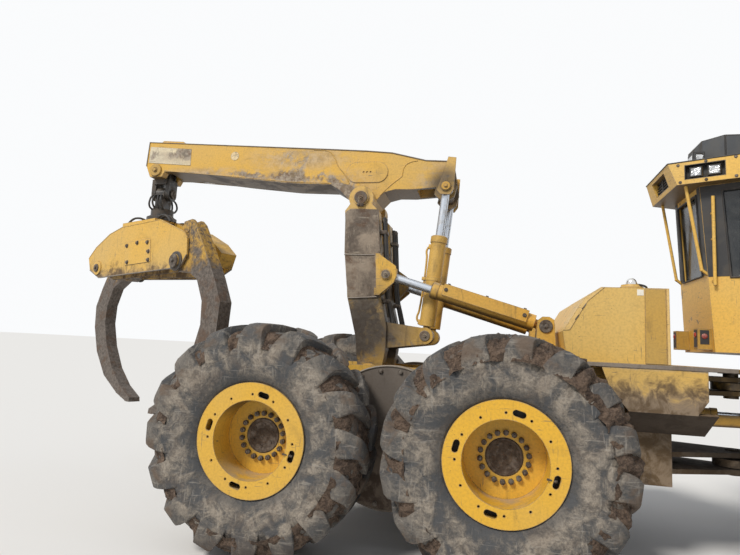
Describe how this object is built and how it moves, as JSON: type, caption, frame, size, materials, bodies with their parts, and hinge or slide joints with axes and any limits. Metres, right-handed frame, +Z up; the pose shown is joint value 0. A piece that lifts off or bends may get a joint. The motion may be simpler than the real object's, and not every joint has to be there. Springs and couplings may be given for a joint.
{
  "type": "grapple skidder",
  "caption": "Articulated six-wheel forestry skidder with a rear arch, lifting boom, hanging grapple, guarded cab and front blade.",
  "frame": {"origin": "on the ground, under the middle of the whole machine's bounding box", "axes": "+X forward to the blade, +Y to the machine's left, +Z up"},
  "size_m": [10.2961, 3.3, 3.885],
  "materials": {
    "yellow_paint": "weathered construction yellow, scuffed to primer and steel at the wear places",
    "rim_paint": "weathered yellow, muddy in the dish",
    "cylinder_paint": "orange-yellow barrel paint, oily and dusty",
    "chrome_rod": "hard-chromed rod with an oil film",
    "bright_cap": "bright filler cap",
    "black_paint": "worn black paint with dust",
    "tyre": "dry muddy forestry tyre",
    "glass": "dusty tinted window",
    "engine_iron": "oily cast iron",
    "exhaust_steel": "heat-stained steel",
    "lamp_plastic": "clear lamp lens in a housing"
  },
  "bodies": {
    "rear_frame": {"rear_frame": "yellow_paint", "rear_deck": "yellow_paint", "fuel_tank": "yellow_paint", "fuel_cap": "bright_cap", "bogie_axle": "yellow_paint", "bogie_beams": "yellow_paint", "tow_eye": "yellow_paint"},
    "wheel_rear_right": {"tyre_rear_right": "tyre", "rim_rear_right": "rim_paint"},
    "wheel_rear_left": {"tyre_rear_left": "tyre", "rim_rear_left": "rim_paint"},
    "wheel_mid_right": {"tyre_mid_right": "tyre", "rim_mid_right": "rim_paint"},
    "wheel_mid_left": {"tyre_mid_left": "tyre", "rim_mid_left": "rim_paint"},
    "wheel_front_right": {"tyre_front_right": "tyre", "rim_front_right": "rim_paint"},
    "wheel_front_left": {"tyre_front_left": "tyre", "rim_front_left": "rim_paint"},
    "arch": {"arch": "yellow_paint"},
    "arch_barrels": {"arch_barrels": "cylinder_paint"},
    "arch_rods": {"arch_rods": "chrome_rod"},
    "boom": {"boom_arm": "yellow_paint"},
    "boom_barrels": {"boom_barrels": "cylinder_paint"},
    "boom_rods": {"boom_rods": "chrome_rod"},
    "yoke": {"yoke": "black_paint"},
    "swing_block": {"swing_block": "black_paint"},
    "grapple": {"rotator": "black_paint", "grapple_head": "yellow_paint"},
    "tong_right": {"tong_right": "yellow_paint"},
    "tong_left": {"tong_left": "yellow_paint"},
    "grip_barrel_right": {"grip_barrel_right": "cylinder_paint"},
    "grip_rod_right": {"grip_rod_right": "chrome_rod"},
    "grip_barrel_left": {"grip_barrel_left": "cylinder_paint"},
    "grip_rod_left": {"grip_rod_left": "chrome_rod"},
    "front_frame": {"front_frame": "yellow_paint", "front_axle": "yellow_paint", "hood": "yellow_paint", "grilles": "black_paint", "engine_block": "engine_iron", "exhaust_stack": "exhaust_steel", "cab_shell": "yellow_paint", "cab_roof": "yellow_paint", "roof_unit": "black_paint", "rear_bars": "yellow_paint", "cab_glass": "glass", "seat": "black_paint", "cab_rails": "yellow_paint", "lamps": "lamp_plastic"},
    "door_right": {"door_right": "yellow_paint"},
    "door_left": {"door_left": "yellow_paint"},
    "blade": {"blade": "yellow_paint"},
    "blade_barrels": {"blade_barrels": "cylinder_paint"},
    "blade_rods": {"blade_rods": "chrome_rod"},
    "steer_barrel_right": {"steer_barrel_right": "cylinder_paint"},
    "steer_rod_right": {"steer_rod_right": "chrome_rod"},
    "steer_barrel_left": {"steer_barrel_left": "cylinder_paint"},
    "steer_rod_left": {"steer_rod_left": "chrome_rod"}
  },
  "joints": [
    {"name": "steering", "type": "hinge", "parent": "rear_frame", "child": "front_frame", "pos_m": [2.06, 0, 1.18], "axis": [0, 0, 1], "range_deg": [-40, 40]},
    {"name": "wheel_rear_right_spin", "type": "hinge", "parent": "rear_frame", "child": "wheel_rear_right", "pos_m": [-1.835, -1.3, 0.9], "axis": [0, 1, 0], "continuous": true},
    {"name": "wheel_mid_right_spin", "type": "hinge", "parent": "rear_frame", "child": "wheel_mid_right", "pos_m": [0.055, -1.3, 0.9], "axis": [0, 1, 0], "continuous": true},
    {"name": "wheel_front_right_spin", "type": "hinge", "parent": "front_frame", "child": "wheel_front_right", "pos_m": [3.81, -1.3, 0.9], "axis": [0, 1, 0], "continuous": true},
    {"name": "wheel_rear_left_spin", "type": "hinge", "parent": "rear_frame", "child": "wheel_rear_left", "pos_m": [-1.835, 1.3, 0.9], "axis": [0, 1, 0], "continuous": true},
    {"name": "wheel_mid_left_spin", "type": "hinge", "parent": "rear_frame", "child": "wheel_mid_left", "pos_m": [0.055, 1.3, 0.9], "axis": [0, 1, 0], "continuous": true},
    {"name": "wheel_front_left_spin", "type": "hinge", "parent": "front_frame", "child": "wheel_front_left", "pos_m": [3.81, 1.3, 0.9], "axis": [0, 1, 0], "continuous": true},
    {"name": "arch_swing", "type": "hinge", "parent": "rear_frame", "child": "arch", "pos_m": [-1.19, 0, 1.4], "axis": [0, -1, 0], "range_deg": [-15, 28]},
    {"name": "boom_lift", "type": "hinge", "parent": "arch", "child": "boom", "pos_m": [-1.355, 0, 3.12], "axis": [0, -1, 0], "range_deg": [-16, 20]},
    {"name": "arch_cylinder_pivot", "type": "hinge", "parent": "rear_frame", "child": "arch_barrels", "pos_m": [0.41, 0, 1.905], "axis": [0, -1, 0], "range_deg": [-2.15, 3.96]},
    {"name": "arch_cylinder_stroke", "type": "slide", "parent": "arch_barrels", "child": "arch_rods", "axis": [-0.9585, 0, 0.2852], "range_m": [-0.23895, 0.44518]},
    {"name": "boom_cylinder_pivot", "type": "hinge", "parent": "arch", "child": "boom_barrels", "pos_m": [-0.673, 0, 1.779], "axis": [0, -1, 0], "range_deg": [-2.5, 3.11]},
    {"name": "boom_cylinder_stroke", "type": "slide", "parent": "boom_barrels", "child": "boom_rods", "axis": [0.1034, 0, 0.9946], "range_m": [-0.225, 0.281]},
    {"name": "yoke_swing", "type": "hinge", "parent": "boom", "child": "yoke", "pos_m": [-3.825, 0, 3.52], "axis": [0, 1, 0], "range_deg": [-35, 50]},
    {"name": "side_swing", "type": "hinge", "parent": "yoke", "child": "swing_block", "pos_m": [-3.825, 0, 3.29], "axis": [1, 0, 0], "range_deg": [-20, 20]},
    {"name": "rotator_turn", "type": "hinge", "parent": "swing_block", "child": "grapple", "pos_m": [-3.825, 0, 3.004], "axis": [0, 0, 1], "continuous": true},
    {"name": "tong_right_swing", "type": "hinge", "parent": "grapple", "child": "tong_right", "pos_m": [-3.17603, -0.50123, 2.42], "axis": [-0.4226, -0.9063, 0], "range_deg": [-20, 25]},
    {"name": "tong_left_swing", "type": "hinge", "parent": "grapple", "child": "tong_left", "pos_m": [-4.47398, 0.50123, 2.42], "axis": [0.4226, 0.9063, 0], "range_deg": [-20, 25]},
    {"name": "grip_cylinder_right_pivot", "type": "hinge", "parent": "grapple", "child": "grip_barrel_right", "pos_m": [-4.62612, 0.17496, 2.42], "axis": [-0.4226, -0.9063, 0], "range_deg": [-1.78, 2.21]},
    {"name": "grip_cylinder_right_stroke", "type": "slide", "parent": "grip_barrel_right", "child": "grip_rod_right", "axis": [0.8899, -0.415, 0.1895], "range_m": [-0.13572, 0.10878]},
    {"name": "grip_cylinder_left_pivot", "type": "hinge", "parent": "grapple", "child": "grip_barrel_left", "pos_m": [-3.02388, -0.17496, 2.42], "axis": [0.4226, 0.9063, 0], "range_deg": [-1.78, 2.21]},
    {"name": "grip_cylinder_left_stroke", "type": "slide", "parent": "grip_barrel_left", "child": "grip_rod_left", "axis": [-0.8899, 0.415, 0.1895], "range_m": [-0.13572, 0.10878]},
    {"name": "door_right_hinge", "type": "hinge", "parent": "front_frame", "child": "door_right", "pos_m": [2.756, -0.866, 2.49], "axis": [0, 0, -1], "range_deg": [0, 70]},
    {"name": "door_left_hinge", "type": "hinge", "parent": "front_frame", "child": "door_left", "pos_m": [2.756, 0.866, 2.49], "axis": [0, 0, 1], "range_deg": [0, 70]},
    {"name": "blade_lift", "type": "hinge", "parent": "front_frame", "child": "blade", "pos_m": [4.44, 0, 0.8], "axis": [0, -1, 0], "range_deg": [-10, 25]},
    {"name": "blade_cylinder_pivot", "type": "hinge", "parent": "front_frame", "child": "blade_barrels", "pos_m": [4.21, 0, 1.38], "axis": [0, -1, 0], "range_deg": [-4.41, 10.94]},
    {"name": "blade_cylinder_stroke", "type": "slide", "parent": "blade_barrels", "child": "blade_rods", "axis": [0.8968, 0, -0.4424], "range_m": [-0.19637, 0.07915]},
    {"name": "steer_cylinder_right_pivot", "type": "hinge", "parent": "rear_frame", "child": "steer_barrel_right", "pos_m": [1.49, -0.42, 1.18], "axis": [0, 0, 1], "range_deg": [-11.7, 11.7]},
    {"name": "steer_cylinder_right_stroke", "type": "slide", "parent": "steer_barrel_right", "child": "steer_rod_right", "axis": [0.9895, 0.1445, 0], "range_m": [-0.22898, 0.22898]},
    {"name": "steer_cylinder_left_pivot", "type": "hinge", "parent": "rear_frame", "child": "steer_barrel_left", "pos_m": [1.49, 0.42, 1.18], "axis": [0, 0, 1], "range_deg": [-11.7, 11.7]},
    {"name": "steer_cylinder_left_stroke", "type": "slide", "parent": "steer_barrel_left", "child": "steer_rod_left", "axis": [0.9895, -0.1445, 0], "range_m": [-0.22898, 0.22898]}
  ],
  "couplings": [
    {"joint": "arch_cylinder_pivot", "follows": "arch_swing", "ratio": 0.13973},
    {"joint": "arch_cylinder_stroke", "follows": "arch_swing", "m_per_rad": 0.90891},
    {"joint": "boom_cylinder_pivot", "follows": "boom_lift", "ratio": 0.15284},
    {"joint": "boom_cylinder_stroke", "follows": "boom_lift", "m_per_rad": 0.80214},
    {"joint": "tong_left_swing", "follows": "tong_right_swing", "ratio": 1},
    {"joint": "grip_cylinder_right_pivot", "follows": "tong_right_swing", "ratio": 0.08629},
    {"joint": "grip_cylinder_right_stroke", "follows": "tong_right_swing", "m_per_rad": -0.30876},
    {"joint": "grip_cylinder_left_pivot", "follows": "tong_right_swing", "ratio": 0.08629},
    {"joint": "grip_cylinder_left_stroke", "follows": "tong_right_swing", "m_per_rad": -0.30876},
    {"joint": "blade_cylinder_pivot", "follows": "blade_lift", "ratio": 0.43568},
    {"joint": "blade_cylinder_stroke", "follows": "blade_lift", "m_per_rad": -0.44776},
    {"joint": "steer_cylinder_right_pivot", "follows": "steering", "ratio": 0.29122},
    {"joint": "steer_cylinder_right_stroke", "follows": "steering", "m_per_rad": 0.32655},
    {"joint": "steer_cylinder_left_pivot", "follows": "steering", "ratio": 0.29122},
    {"joint": "steer_cylinder_left_stroke", "follows": "steering", "m_per_rad": -0.32655}
  ]
}
